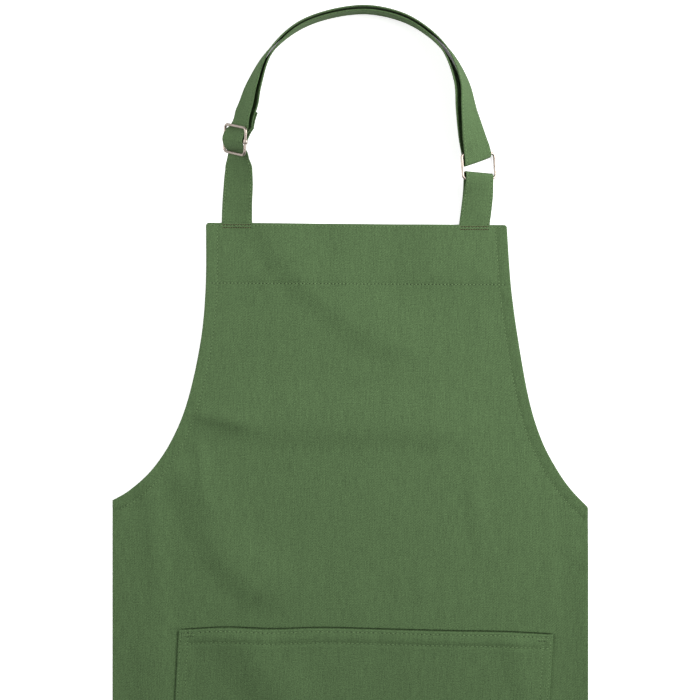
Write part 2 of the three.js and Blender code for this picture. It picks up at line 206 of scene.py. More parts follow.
@functools.cache
def panel_height(x, y):
    hems = inside_hems(x, y)
    nearest = min(hems, key=abs)
    run = x if min(abs(hems[2]), abs(hems[3])) < abs(nearest) + 0.01 else y
    groove = sum(depth * bell(nearest, reach) for depth, reach in GROOVES)
    turned = TURNED_SLOPE * min(max(-min(hems[:2]), 0), 12)
    trough = TROUGH * fade(nearest, 4, 45) * (1 - fade(nearest, 0, 4)) if nearest > 0 else 0
    sway = sum(size * noise.noise(Vector((x / wide, y / long, seed))) for size, wide, long, seed in SWAYS)
    return lift(x, y) + 2 * CLOTH + puckered(run, nearest, PUCKERS) - groove + turned - trough + sway


mouth = spline([Vector((rise, gape)) for rise, gape in zip(MOUTH_RISES, MOUTH_GAPES)])


def mouth_at(across):
    share = min(max(across, 0), 1)
    rise = mouth[round(share * (len(mouth) - 1))].x
    left, right = (Vector(top) for top, low in POCKET_CORNERS.values())
    return left.lerp(right, share) + Vector((0, rise))


def along_mouth(x):
    start, stop = (top[0] for top, low in POCKET_CORNERS.values())
    return (x - start) / (stop - start)


def mouth_dip(x, y):
    above = y - mouth_at(along_mouth(x)).y
    ends = 1 - fade(min(along_mouth(x), 1 - along_mouth(x)), 0, 0.01)
    return MOUTH_DIP * ends * (fade(above, 0.1, 1.6) if above > 0 else fade(-above, 5, 15))


# Each row of the cut runs from edge to edge, closer at the edges and at the rows of stitches, and the rows
# near the pocket's mouth follow its line
NEAR_EDGE = (0, 0.03, 0.08, 0.15, 0.3, 0.55, 0.8, 0.93, 1, 1.07, 1.2, 1.5)
BETWEEN = 104
ROWS_LEVEL = 260  # the rows follow the slope of the top edge, and are level from this drop on
ROW_DROPS = sorted(
    {0, 0.35, 0.9, 1.7, 2.6, 3.5, 5, 9, 57, 59, 60, 61, 63}
    | {773, 774, 775, 777, 779, 798.4, 799.2, 799.7, 800}
    | {MOUTH_DROP - above for above in (2.2, 1.7, 1.35, 1, 0.65, 0.3, 0, -1)}
    | {4 * n for n in range(3, 200) if n not in (15, 101, 194)}
    | {262, 266, 270, 274, 278, 282, 286, 290, 294, 298}
)


def edge_at(side, drop):
    slope = BIB_TOP[side][1] * max(1 - drop / ROWS_LEVEL, 0)
    corner = max(BIB_CORNER_ROUND - drop, 0)
    inset = BIB_CORNER_ROUND - math.sqrt(BIB_CORNER_ROUND**2 - corner**2)
    sign = 1 if side == "left" else -1
    return Vector((np.interp(drop - slope, *EDGES[side]) + sign * inset, slope - drop))


# Where the armhole's row of stitches runs out over the side, the columns beside it close up and open again
def seam_width(side, edge):
    drops, seam = SEAMS[side]
    width = abs(np.interp(-edge.y, drops, seam) - edge.x)
    past = min(max((-edge.y - drops[-1] + 22) / 40, 0), 1)
    return max(width * (1 - past), 4) if past < 0.5 else HEM["armhole"] * past


def panel_row(drop):
    left, right = edge_at("left", drop), edge_at("right", drop)
    near = [left.x + share * seam_width("left", left) for share in NEAR_EDGE]
    far = [right.x - share * seam_width("right", right) for share in reversed(NEAR_EDGE)]
    middle = np.linspace(near[-1], far[0], BETWEEN)[1:-1]
    row = [left.lerp(right, (x - left.x) / (right.x - left.x)) for x in (*near, *middle, *far)]
    bend = fade(abs(drop - MOUTH_DROP), 6, 60)
    return [spot + Vector((0, bend * (mouth_at(along_mouth(spot.x)).y + MOUTH_DROP))) for spot in row]


PANEL_ROWS = [panel_row(drop) for drop in ROW_DROPS]


# Two sheets, the face and the back, meet in a rounded edge
def rounded(distance, radius):
    return math.sqrt(max(1 - max(1 - distance / radius, 0) ** 2, 0))


def panel_place(cut, face, row):
    drop = ROW_DROPS[row]
    inset = min(drop, PANEL_LENGTH - drop, cut.x - PANEL_ROWS[row][0].x, PANEL_ROWS[row][-1].x - cut.x)
    top = panel_height(cut.x, cut.y) - mouth_dip(cut.x, cut.y)
    double = min(inside_hems(cut.x, cut.y)) < 0.3
    thick = min(2 * CLOTH - 0.1 if double else CLOTH, top - 0.03)
    middle = top - thick / 2
    return Vector((cut.x, cut.y, middle + face * thick / 2 * rounded(inset, 1.2)))


def cloth(columns, rows, cut, place):
    bm = bmesh.new()
    flat = bm.loops.layers.uv.new("cut")
    for face in (1, -1):
        sheet = bmesh.ops.create_grid(bm, x_segments=columns - 1, y_segments=rows - 1, size=0.5)["verts"]
        spots = {}
        for vert in sheet:
            column = round((vert.co.x + 0.5) * (columns - 1))
            row = round((0.5 - vert.co.y) * (rows - 1))
            spots[vert] = cut(column, row)
            vert.co = place(spots[vert], face, row)
        for made in {made for vert in sheet for made in vert.link_faces}:
            made.smooth = True
            for loop in made.loops:
                loop[flat].uv = spots[loop.vert] / 1000
    bmesh.ops.remove_doubles(bm, verts=bm.verts, dist=0.004)
    bmesh.ops.recalc_face_normals(bm, faces=bm.faces)
    return bm


def finished(name, bm, *materials):
    bmesh.ops.scale(bm, vec=(0.001, 0.001, 0.001), verts=bm.verts)
    bmesh.ops.translate(bm, vec=SHIFT, verts=bm.verts)
    mesh = bpy.data.meshes.new(name)
    bm.to_mesh(mesh)
    bm.free()
    for material in materials:
        mesh.materials.append(material)
    piece = bpy.data.objects.new(name, mesh)
    bpy.context.scene.collection.objects.link(piece)
    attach(piece, "root")
    return piece


# Cotton twill, piece dyed and a little uneven: matt, with a soft bloom of fibre ends, fine diagonal ribs,
# and slubs that make faint streaks along both yarns. The ribs are drawn 1.3 mm apart, twice the real
# distance, so that they show. A wave texture repeats every 0.314 divided by its scale.
def twill(name, shade):
    material = bpy.data.materials.new(name)
    material.use_nodes = True
    tree = material.node_tree
    surface = tree.nodes["Principled BSDF"]
    cut = add(tree, "ShaderNodeUVMap", {}, uv_map="cut")["UV"]
    turned = add(tree, "ShaderNodeMapping", {
        "Vector": cut, "Rotation": (0, 0, math.radians(-32))})["Vector"]
    rib_scale = 0.314 / 0.0013
    ribs = add(tree, "ShaderNodeTexWave", {
        "Vector": turned, "Scale": rib_scale, "Distortion": 1.2, "Detail": 2, "Detail Scale": 2.0})["Fac"]
    warp = add(tree, "ShaderNodeMapping", {"Vector": cut, "Scale": (800, 60, 1)})["Vector"]
    weft = add(tree, "ShaderNodeMapping", {"Vector": cut, "Scale": (60, 800, 1)})["Vector"]
    warp_slubs = add(tree, "ShaderNodeTexNoise", {"Vector": warp, "Scale": 1, "Detail": 3})["Fac"]
    weft_slubs = add(tree, "ShaderNodeTexNoise", {"Vector": weft, "Scale": 1, "Detail": 3})["Fac"]
    slubs = add(tree, "ShaderNodeMath", {
        0: weft_slubs, 1: 0.4, 2: warp_slubs}, operation="MULTIPLY_ADD")["Value"]
    lint = add(tree, "ShaderNodeTexNoise", {"Vector": cut, "Scale": 750, "Detail": 1})["Fac"]
    uneven = add(tree, "ShaderNodeTexNoise", {"Vector": warp, "Scale": 0.12, "Detail": 5})["Fac"]
    mottle = add(tree, "ShaderNodeMath", {0: uneven, 1: 0.16, 2: lint}, operation="MULTIPLY_ADD")["Value"]
    yarn = add(tree, "ShaderNodeMath", {0: slubs, 1: 0.55, 2: mottle}, operation="MULTIPLY_ADD")["Value"]
    woven = add(tree, "ShaderNodeMath", {0: ribs, 1: 0.22, 2: yarn}, operation="MULTIPLY_ADD")["Value"]
    tone = add(tree, "ShaderNodeMapRange", {"Value": woven, "From Min": 0.7, "From Max": 1.46})["Result"]
    dark, light = (tuple(c * share for c in linear(shade)[:3]) + (1,) for share in (0.6, 1.4))
    colour = add(tree, "ShaderNodeMix", {"Factor": tone, "A": dark, "B": light}, data_type="RGBA")["Result"]
    relief = add(tree, "ShaderNodeMath", {0: slubs, 1: 0.6, 2: ribs}, operation="MULTIPLY_ADD")["Value"]
    bump = add(tree, "ShaderNodeBump", {"Height": relief, "Strength": 0.5, "Distance": 0.00025})["Normal"]
    tree.links.new(colour, surface.inputs["Base Color"])
    tree.links.new(bump, surface.inputs["Normal"])
    surface.inputs["Roughness"].default_value = 0.9
    surface.inputs["Specular IOR Level"].default_value = 0.18
    surface.inputs["Sheen Weight"].default_value = 0.12
    surface.inputs["Sheen Roughness"].default_value = 0.45
    surface.inputs["Sheen Tint"].default_value = linear(0xA9BF98)
    return material


GREEN = 0x526A45
panel_twill = twill("green_cotton_twill", GREEN)
panel = cloth(len(PANEL_ROWS[0]), len(PANEL_ROWS), lambda column, row: PANEL_ROWS[row][column], panel_place)
body = finished("body_cloth", panel, panel_twill)
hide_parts("body_panel")

# Stitching of the body panel: lockstitch in green cotton thread. Each stitch is a short loop of thread
# lying on the cloth, and between two stitches a flat dark disc paints the shade in the needle hole.

STITCH = {"pitch": 3.6, "width": 0.85, "height": 0.6, "hole": 1.2, "rise": 0.08}


# Dyed cotton thread: softly shining, and a little lighter and darker along its length. A needle hole is
# matt and dark, because little light comes out of it; its flat dark disc is painted shade.
def thread_dye_or_painted_shade(name, shade, roughness):
    material = bpy.data.materials.new(name)
    material.use_nodes = True
    tree = material.node_tree
    surface = tree.nodes["Principled BSDF"]
    place = add(tree, "ShaderNodeTexCoord", {})["Object"]
    lint = add(tree, "ShaderNodeTexNoise", {"Vector": place, "Scale": 900, "Detail": 2})["Fac"]
    dark, light = (tuple(c * share for c in linear(shade)[:3]) + (1,) for share in (0.8, 1.2))
    colour = add(tree, "ShaderNodeMix", {"Factor": lint, "A": dark, "B": light}, data_type="RGBA")["Result"]
    tree.links.new(colour, surface.inputs["Base Color"])
    surface.inputs["Roughness"].default_value = roughness
    surface.inputs["Specular IOR Level"].default_value = 0.25
    return material


thread = thread_dye_or_painted_shade("green_cotton_thread", 0x728D60, 0.7)
# The needle hole's flat disc is dark with painted shade: the shade inside the hole, given as colour
needle_hole_shade = thread_dye_or_painted_shade("needle_hole_shade", 0x182014, 1.0)


# A row of stitches along a line of the cut, which place() carries to the piece's surface. None of them
# reaches into the floor.
def stitch_row(bm, place, line, hole=STITCH["hole"], pitch=STITCH["pitch"], size=1.0):
    row = bmesh.new()
    ends = np.concatenate([[0], np.cumsum([(b - a).length for a, b in zip(line, line[1:])])])
    xs, ys = [p.x for p in line], [p.y for p in line]

    def spot(distance):
        return Vector((np.interp(distance, ends, xs), np.interp(distance, ends, ys)))

    for n in range(int(ends[-1] / pitch)):
        middle = (n + 0.5) * pitch
        start, stop = spot(middle - 0.3), spot(middle + 0.3)
        aside = (stop - start).orthogonal().normalized() * 0.3
        along = (place(stop) - place(start)).normalized()
        up = along.cross(place(start + aside) - place(start)).normalized()
        turn = Matrix((along, up.cross(along), up)).transposed().to_4x4()
        # Each stitch is a loop of thread, then a flat disc at the needle hole, dark with painted shade
        for kind, shift, length, width, height in (
            (0, 0, pitch - 0.9 * hole, STITCH["width"], STITCH["height"]),
            (1, pitch / 2, hole, hole * 0.8, STITCH["height"] / 2),
        ):
            where = place(spot(middle + shift)) + up * STITCH["rise"]
            where.z = max(where.z, height * size / 2)
            shape = Matrix.Diagonal((length * size / 2, width * size / 2, height * size / 2, 1))
            ball = bmesh.ops.create_icosphere(
                row, subdivisions=1, radius=1, matrix=Matrix.Translation(where) @ turn @ shape)["verts"]
            for made in {made for vert in ball for made in vert.link_faces}:
                made.material_index = kind
                made.smooth = True
    kept = bpy.data.meshes.new("row")
    row.to_mesh(kept)
    row.free()
    bm.from_mesh(kept)
    bpy.data.meshes.remove(kept)


def on_panel(spot):
    return Vector((spot.x, spot.y, panel_height(spot.x, spot.y)))


def across_bib(drop):
    return [edge_at("left", drop) + Vector((3, 0)), edge_at("right", drop) - Vector((3, 0))]


sewing = bmesh.new()
stitch_row(sewing, on_panel, across_bib(2.6), 0.8, size=0.8)
stitch_row(sewing, on_panel, across_bib(HEM["top"]))
for side in ("left", "right"):
    seam = [p for p in armhole_seam(side) if abs(p.x) < PANEL_WIDTH / 2 - 1 and p.y < BIB_TOP[side][1] - 4]
    stitch_row(sewing, on_panel, seam, 0.8, size=0.8)
low = HEM["bottom"] - PANEL_LENGTH
stitch_row(sewing, on_panel, [Vector((-PANEL_WIDTH / 2 + 2, low)), Vector((PANEL_WIDTH / 2 - 2, low))])
body_stitching = finished("body_stitching", sewing, thread, needle_hole_shade)

# Pocket: a wide patch of the same twill. Its mouth has a turned hem with two rows of stitches, its sides
# and bottom are turned under and sewn to the skirt with two rows, and its mouth ends in bar tacks.

POCKET_WIDTH = 373
POCKET_DEPTH = 200
POCKET_TURNED = 12
MOUTH_ROWS = (3, 14)  # rows of stitches below the mouth, the second along the end of its hem
SIDE_ROWS = (2.2, 9.5)  # and inside the other edges
# The rows of a bar tack are given by their distance from the mouth and the size of their painted-shade
# needle holes
BAR_TACK = {"inset": 10, "half": 7, "pitch": 1.7, "rows": ((3.2, 1.5), (5, 0.5), (6.8, 1.5))}
POCKET_PUCKERS = {"height": 0.14, "wave": 0.63, "drift": 0.05, "uneven": 1.4, "reach": 5}
POCKET_FOLDS = (  # as the panel's
    (4.2, 38, 45, ((-128, -390), (-107, -418), (-64, -476), (-30, -570))),
    (2.6, 26, 40, ((156, -395), (168, -426), (184, -471), (196, -540))),
)
POCKET_ACROSS = sorted(
    {0, 0.3, 0.8, 1.4, 2.2, 3, 5, 8, 9.5, 11, 14}
    | {359, 362, 363.5, 365, 368, 370, 370.8, 371.6, 372.2, 372.7, 373}
    | {20 + 2.5 * n for n in range(134)}
)
POCKET_DOWN = sorted(
    {0, 0.3, 0.8, 1.6, 3, 4.4, 8, 12.5, 14, 15.5, 18}
    | {187, 189, 190.5, 192, 195, 197, 197.8, 198.6, 199.2, 199.7, 200}
    | {20 + 5 * n for n in range(34)}
)


def pocket_spot(cut):
    across, down = cut.x / POCKET_WIDTH, cut.y / POCKET_DEPTH
    left, right = (Vector(top).lerp(Vector(low), down) for top, low in POCKET_CORNERS.values())
    rise = mouth[round(across * (len(mouth) - 1))].x
    return left.lerp(right, across) + Vector((0, rise * (1 - down)))


def pocket_height(cut, face):
    spot = pocket_spot(cut)
    across = cut.x / POCKET_WIDTH
    side = min(cut.x, POCKET_WIDTH - cut.x)
    foot = POCKET_DEPTH - cut.y
    stands = mouth[round(across * (len(mouth) - 1))].y * fade(cut.y, 0, 110)
    turned = min(side, foot) < POCKET_TURNED or cut.y < MOUTH_ROWS[1]
    folds = sum(fold_height(spot.x, spot.y, *fold) for fold in POCKET_FOLDS)
    folds *= 1 - fade(min(side, foot), 8, 40)
    under = panel_height(spot.x, spot.y) + 0.06 + stands + folds + 0.9 * (1 - fade(min(side, foot), 8, 30))
    beside = [inset - row for inset in (side, foot) for row in SIDE_ROWS]
    below = [cut.y - row for row in MOUTH_ROWS]
    nearest = min(abs(distance) for distance in beside + below)
    groove = 0.32 * bell(nearest, 0.9)
    run = cut.x if min(cut.y, foot) < side else cut.y
    pucker = puckered(run, nearest, POCKET_PUCKERS)
    thick = 1.8 * CLOTH if turned else CLOTH + 0.35 * fade(min(side, foot, cut.y - 2), 12, 26)
    edge = rounded(min(side, foot, cut.y), 1.0)
    return under + thick / 2 + edge * (thick / 2 - groove + pucker if face > 0 else -thick / 2)


def pocket_cut(column, row):
    return Vector((POCKET_ACROSS[column], POCKET_DOWN[row]))


def on_pocket(cut, face=1, row=None):
    return pocket_spot(cut).to_3d() + Vector((0, 0, pocket_height(cut, face)))


pocket_cloth = cloth(len(POCKET_ACROSS), len(POCKET_DOWN), pocket_cut, on_pocket)
pocket = finished("pocket_cloth", pocket_cloth, twill("pocket_cotton_twill", GREEN))
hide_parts("pocket")

sewing = bmesh.new()
for down, hole in zip(MOUTH_ROWS, (2.0, 1.2)):
    stitch_row(sewing, on_pocket, [Vector((POCKET_WIDTH - 3, down)), Vector((3, down))], hole, 4.4)
for aside in SIDE_ROWS:
    far, foot = POCKET_WIDTH - aside, POCKET_DEPTH - aside
    corners = [Vector(p) for p in ((aside, 4), (aside, foot), (far, foot), (far, 4))]
    for start, stop in zip(corners, corners[1:]):
        stitch_row(sewing, on_pocket, [start, stop], 1.2, size=0.85)
for middle in (BAR_TACK["inset"], POCKET_WIDTH - BAR_TACK["inset"]):
    for down, hole in BAR_TACK["rows"]:
        start, stop = (Vector((middle + side * BAR_TACK["half"], down)) for side in (1, -1))
        stitch_row(sewing, on_pocket, [start, stop], hole, BAR_TACK["pitch"])
pocket_stitching = finished("pocket_stitching", sewing, thread, needle_hole_shade)

# Neck strap: twill folded to a flat band and stitched along both edges. It is sewn behind the bib, weaves
# through the slider, makes the outer layer of the loop, turns round the ring and comes back as the inner
# layer, whose end is sewn in a loop on the slider's middle bar.

STRAP_WIDTH = 30.4
STRAP_THICK = 1.6
STRAP_ROW = 2.2  # its rows of stitches, inside each edge
WIRE = 2.8
SLIDER = {"width": 35.8, "height": 27, "corner": 4}
RING = {"width": 36.2, "height": 25, "corner": 3.8}
BAR = 2.6
NECK_GUIDE = (  # x, y, z and the tilt of the strap's face: 0 lies flat, 90 stands on the outer edge
    (-113.4, -22, 0.9, 0),
    (-113.3, 0, 0.9, 0),
    (-112.8, 20, 3.8, 9),
    (-111.7, 40, 7, 14),
    (-112.2, 57, 13, 28),
    (-113.1, 67, 17.2, 46),
    (-113.7, 82.6, 20, 53),
    (-112.9, 98, 20.4, 54),
    (-102.4, 120, 18, 61),
    (-95.8, 137.6, 16.4, 68),
    (-80, 168.9, 15.7, 83),
    (-46.8, 197.6, 15.4, 90),
    (9.7, 212.1, 15.4, 90),
    (48.9, 206, 15.4, 90),
    (75.2, 192.2, 15.4, 88),
    (97.6, 170.8, 15.5, 83),
    (111.8, 140.5, 16.4, 72),
    (116.4, 111.1, 16.4, 57),
    (122.1, 84, 12.6, 36.5),
    (125.5, 71, 10.4, 26.5),
    (127, 57.3, 10.2, 24),
    (127.1, 44, 10.2, 24),
)
SLIDER_ROW, RING_ROW = 6, 20


# A smooth curve through rows of numbers, t counting the rows
def through(rows, t):
    n = min(int(t), len(rows) - 2)
    start, stop = rows[n], rows[n + 1]
    before = rows[n - 1] if n else 2 * start - stop
    after = rows[n + 2] if n + 2 < len(rows) else 2 * stop - start
    legs = ((before, start), (start, stop), (stop, after))
    d0, d1, d2 = (math.sqrt((b - a).length) or 1 for a, b in legs)
    first = ((start - before) / d0 - (stop - before) / (d0 + d1) + (stop - start) / d1) * d1
    last = ((stop - start) / d1 - (after - start) / (d1 + d2) + (after - stop) / d2) * d1
    w = t - n
    bend = 3 * (stop - start) - 2 * first - last + w * (2 * (start - stop) + first + last)
    return start + w * (first + w * bend)


# A guide gives the distance of each row along it, and at any distance a frame: across the strap, along, out
def guide_on(rows):
    line = [Vector(row[:3]) for row in rows]
    tilts = [Vector((row[3], 0)) for row in rows]
    ts = [n / 20 for n in range(20 * (len(rows) - 1) + 1)]
    spots = [through(line, t) for t in ts]
    lengths = np.concatenate([[0], np.cumsum([(b - a).length for a, b in zip(spots, spots[1:])])])

    def frame(distance):
        t = float(np.interp(distance, lengths, ts))
        ahead = through(line, min(t + 0.02, ts[-1])) - through(line, max(t - 0.02, 0))
        along = ahead.xy.normalized().to_3d()
        inward = Vector((along.y, -along.x, 0))
        tilt = math.radians(through(tilts, t).x)
        across = math.cos(tilt) * inward + math.sin(tilt) * Vector((0, 0, 1))
        out = math.cos(tilt) * Vector((0, 0, 1)) - math.sin(tilt) * inward
        basis = Matrix((across, along, out)).transposed().to_4x4()
        return Matrix.Translation(through(line, t)) @ basis

    return lengths[::20], frame


def arc(middle, radius, start, stop, steps=20):
    angles = [math.radians(start + (stop - start) * n / steps) for n in range(steps + 1)]
    return [Vector((middle + radius * math.cos(a), radius * math.sin(a))) for a in angles]


# A band along a route of (along, out) points on a guide. Returns its length and what carries a point of the
# flat band, across and along it, to the face (1) or the back (-1). The slant is how far a point moves along
# the guide for its distance across, and aside moves it across and out.
def band_on(frame, route, slant, aside):
    steps = [(b - a).length for a, b in zip(route, route[1:])]
    ends = np.concatenate([[0], np.cumsum(steps)])
    flat = [[p.x for p in route], [p.y for p in route]]

    def place(cut, face, row=None):
        here, before, after = (
            Vector([np.interp(cut.y + step, ends, values) for values in flat]) for step in (0, -0.4, 0.4))
        side = (after - before).orthogonal().normalized()
        edge = STRAP_WIDTH / 2 - abs(cut.x)
        groove = 0.16 * bell(edge - STRAP_ROW, 0.7)
        half = (STRAP_THICK / 2 - groove) * rounded(min(edge, cut.y, ends[-1] - cut.y), 0.8)
        spot = here + side * half * face
        return frame(spot.x + cut.x * slant(spot.x)) @ (Vector((cut.x, 0, spot.y)) + aside(cut, spot.x))

    return ends, place


BAND_ACROSS = [s * x for s in (-1, 1) for x in (15.2, 15.05, 14.75, 14.3, 13.6, 13, 12.4, 11, 8, 5, 2)]
BAND_ACROSS = sorted({*BAND_ACROSS, 0})


def band(ends, place):
    between = [end for end in ends if 1.5 < end < ends[-1] - 1.5]
    stations = [0, 0.3, 0.8, *between, *(ends[-1] - inset for inset in (0.8, 0.3, 0))]

    def cut(column, row):
        return Vector((BAND_ACROSS[column], stations[row]))

    return cloth(len(BAND_ACROSS), len(stations), cut, place)


def edge_stitches(bm, ends, place):
    for face in (1, -1):
        for aside in (STRAP_WIDTH / 2 - STRAP_ROW, STRAP_ROW - STRAP_WIDTH / 2):
            line = [Vector((aside, ends[-1] - 3)), Vector((aside, 3))][:: -face]
            stitch_row(bm, lambda spot: place(spot, face), line, 0.7, size=0.85)


neck_rows, neck_frame = guide_on(NECK_GUIDE)
slider_at, ring_at = neck_rows[SLIDER_ROW], neck_rows[RING_ROW]
# How far out from the guide the middle of the strap lies: under the slider's rails, round its bar, over the
# loop on the bar, and round the ring. The rails are half the slider's height from the bar.
clear = STRAP_THICK / 2 + 0.12
rail = SLIDER["height"] / 2
under = -(WIRE / 2 + clear)
loop_radius = BAR / 2 + clear
over = loop_radius + 2 * clear + 1.2
turn = WIRE / 2 + clear + 0.6
RING_SLANT = 0.27
RING_DRIFT = 0.2
SLIDER_SLANT = -0.17
FIRST_PASS = 300  # the outer layer passes the slider within this length of the strap
RIDE = {"drift": 1.6, "roll": -0.07}
turn_at = ring_at - RING["height"] / 2 + RING_SLANT * STRAP_WIDTH / 2 + WIRE / 2
crown = (slider_at + ring_at) / 2
outer = ((neck_rows[1], 0), (slider_at - 45, -0.4), (slider_at - rail - 6, under - 1.5),
         (slider_at - rail + 1, under - 1.2), (slider_at - rail / 2, over / 2), (slider_at, over),
         (slider_at + rail / 2, over / 2), (slider_at + rail - 1, under), (slider_at + rail + 8, under),
         (slider_at + 50, 1.8), (slider_at + 100, 2.4), (crown - 60, 2.2), (crown, 2), (crown + 60, 1.4),
         (turn_at - 105, 1.4), (turn_at - 60, 2.2), (turn_at, turn))
inner = ((turn_at, -turn), (turn_at - 40, -3.8), (turn_at - 80, -4.4), (turn_at - 105, -4),
         (crown + 60, -2.4), (crown, -2), (crown - 60, -1.2), (slider_at + 100, -0.9),
         (slider_at + 60, -2.6), (slider_at + 36, -5.6), (slider_at + 24, -7.3), (slider_at + rail, -7.1))
sewn_end = ((slider_at + 6, -5.8), (slider_at + rail, -9), (slider_at + 24, -9.4), (slider_at + 35, -7.9))
sewn_loop = arc(slider_at, loop_radius, 49, 245)
route = [
    Vector((neck_rows[1] - 20, 0)),
    *spline([Vector(p) for p in outer]),
    *arc(turn_at, turn, 90, -90)[1:-1],
    *spline([Vector(p) for p in inner] + [sewn_loop[0]]),
    *sewn_loop[1:],
    *spline([sewn_loop[-1], *(Vector(p) for p in sewn_end)])[1:],
]


# The strap lies aslant in the ring, near the ring's inner side. It turns with the slider and lies flatter
# where its outer layer rides over the slider's bar.
def aslant(at):
    return SLIDER_SLANT * fade(abs(at - slider_at), 14, 30)


def strap_slant(at):
    return RING_SLANT * fade(turn_at - at, 0, 30) + aslant(at)


def strap_aside(cut, at):
    rides = fade(abs(at - slider_at), 4, 14) if cut.y < FIRST_PASS else 0
    drift = RING_DRIFT * fade(turn_at - at, 0, 40) - aslant(at) * (at - slider_at)
    return Vector((drift + RIDE["drift"] * rides, 0, RIDE["roll"] * cut.x * rides))


strap_ends, strap_place = band_on(neck_frame, route, strap_slant, strap_aside)
strap = finished("neck_strap_cloth", band(strap_ends, strap_place), twill("strap_cotton_twill", GREEN))
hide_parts("neck_strap")

sewing = bmesh.new()
edge_stitches(sewing, strap_ends, strap_place)
strap_stitching = finished("neck_strap_stitching", sewing, thread, needle_hole_shade)

# Ring tab: a short length of the same band, folded round the ring's lower bar. Both its ends are sewn
# behind the bib's top edge.

TAB_SLACK = 5.4
TAB_GUIDE = ((127.4, 29, 5.8, 11), (125.7, 12, 3, 3), (124.2, 0, 1.87, 0), (122.3, -22, 1.82, 0))
ring_bar = neck_frame(ring_at) @ Vector((0, RING["height"] / 2, 0))
ring_tilt = NECK_GUIDE[RING_ROW][3]
tab_head = [(ring_bar.x, ring_bar.y + above, ring_bar.z, ring_tilt) for above in (TAB_SLACK + 4, 0)]
tab_rows, tab_frame = guide_on((*tab_head, *TAB_GUIDE))
bar_at, bib_at = tab_rows[1], tab_rows[4]
fold_at = bar_at - TAB_SLACK + turn
sewn = (STRAP_THICK + 0.35) / 2
back = ((bib_at, -sewn), (bib_at - 16, -sewn - 0.2), (bar_at + 14, -1.7), (bar_at, -turn), (fold_at, -turn))
front = [(along, -out) for along, out in reversed(back)]
route = [
    Vector((bib_at + 20, -sewn)),
    *spline([Vector(p) for p in back]),
    *arc(fold_at, turn, -90, -270)[1:-1],
    *spline([Vector(p) for p in front]),
    Vector((bib_at + 20, sewn)),
]


def tab_slant(at):
    return -0.06 * fade(at - bar_at, 0, 30)


tab_ends, tab_place = band_on(tab_frame, route, tab_slant, lambda cut, at: Vector((0, 0, 0)))
tab = finished("ring_tab_cloth", band(tab_ends, tab_place), twill("tab_cotton_twill", GREEN))
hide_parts("ring_tab")

sewing = bmesh.new()
edge_stitches(sewing, tab_ends, tab_place)
tab_stitching = finished("ring_tab_stitching", sewing, thread, needle_hole_shade)

# Strap tacks: two short rows over each sewn end, which hold the strap and the tab to the bib's top hem.
# They are sewn through all layers in a khaki thread that stands out from the cloth.

TACKS = {"middles": (-113.2, 124), "drops": (1.9, 4.8), "half": 15}
khaki_thread = thread_dye_or_painted_shade("khaki_thread", 0x5F5A3C, 0.65)
sewing = bmesh.new()
for middle in TACKS["middles"]:
    for drop in TACKS["drops"]:
        start, stop = (Vector((middle + side * TACKS["half"], top_edge(middle) - drop)) for side in (-1, 1))
        stitch_row(sewing, on_panel, [start, stop], 1.1, 2.4, 1.15)
strap_tacks = finished("strap_tacks", sewing, khaki_thread, needle_hole_shade)

# Ring, slider frame and slider bar: round steel wire, bent and nickel plated. The ring and the frame are
# closed rectangles with round corners. The bar's ends are collars that slide on the frame's sides.


# Nickel plate, tumbled before plating: a warm pale metal with a soft polish and fine scratches
def nickel():
    material = bpy.data.materials.new("nickel_plate")
    material.use_nodes = True
    tree = material.node_tree
    surface = tree.nodes["Principled BSDF"]
    place = add(tree, "ShaderNodeTexCoord", {})["Object"]
    tarnish = add(tree, "ShaderNodeTexNoise", {"Vector": place, "Scale": 160, "Detail": 4})["Fac"]
    rough = add(tree, "ShaderNodeMapRange", {"Value": tarnish, "To Min": 0.28, "To Max": 0.44})["Result"]
    colour = add(tree, "ShaderNodeMix", {
        "Factor": tarnish, "A": linear(0x9A8D83), "B": linear(0xC6BAB0)}, data_type="RGBA")["Result"]
    scratches = add(tree, "ShaderNodeTexNoise", {"Vector": place, "Scale": 2500, "Detail": 2})["Fac"]
    bump = add(tree, "ShaderNodeBump", {
        "Height": scratches, "Strength": 0.12, "Distance": 0.0001})["Normal"]
    tree.links.new(colour, surface.inputs["Base Color"])
    tree.links.new(rough, surface.inputs["Roughness"])
    tree.links.new(bump, surface.inputs["Normal"])
    surface.inputs["Metallic"].default_value = 1
    return material


plate = nickel()


def wire_rectangle(size, frame):
    bm = bmesh.new()
    half = Vector((size["width"] / 2 - size["corner"], size["height"] / 2 - size["corner"]))
    start = Matrix.Translation((size["width"] / 2, -half.y, 0)) @ Matrix.Rotation(math.pi / 2, 4, "X")
    bmesh.ops.create_circle(bm, segments=16, radius=WIRE / 2, matrix=start)
    last = [*bm.verts, *bm.edges]
    for along, x, y in (((0, 1), 1, 1), ((-1, 0), -1, 1), ((0, -1), -1, -1), ((1, 0), 1, -1)):
        step = Vector((along[0] * half.x, along[1] * half.y, 0)) / 3
        last = bmesh.ops.spin(bm, geom=last, dvec=step, axis=(0, 0, 1), angle=0, steps=6)["geom_last"]
        middle = (x * half.x, y * half.y, 0)
        last = bmesh.ops.spin(
            bm, geom=last, cent=middle, axis=(0, 0, 1), angle=math.pi / 2, steps=8)["geom_last"]
    bmesh.ops.remove_doubles(bm, verts=bm.verts, dist=0.01)
    bmesh.ops.recalc_face_normals(bm, faces=bm.faces)
    for made in bm.faces:
        made.smooth = True
    bmesh.ops.transform(bm, matrix=frame, verts=bm.verts)
    return bm


RING_SHIFT = Vector((1, 0, 0))
ring_place = Matrix.Translation(RING_SHIFT) @ neck_frame(ring_at)
ring = finished("ring_wire", wire_rectangle(RING, ring_place), plate)
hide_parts("ring")

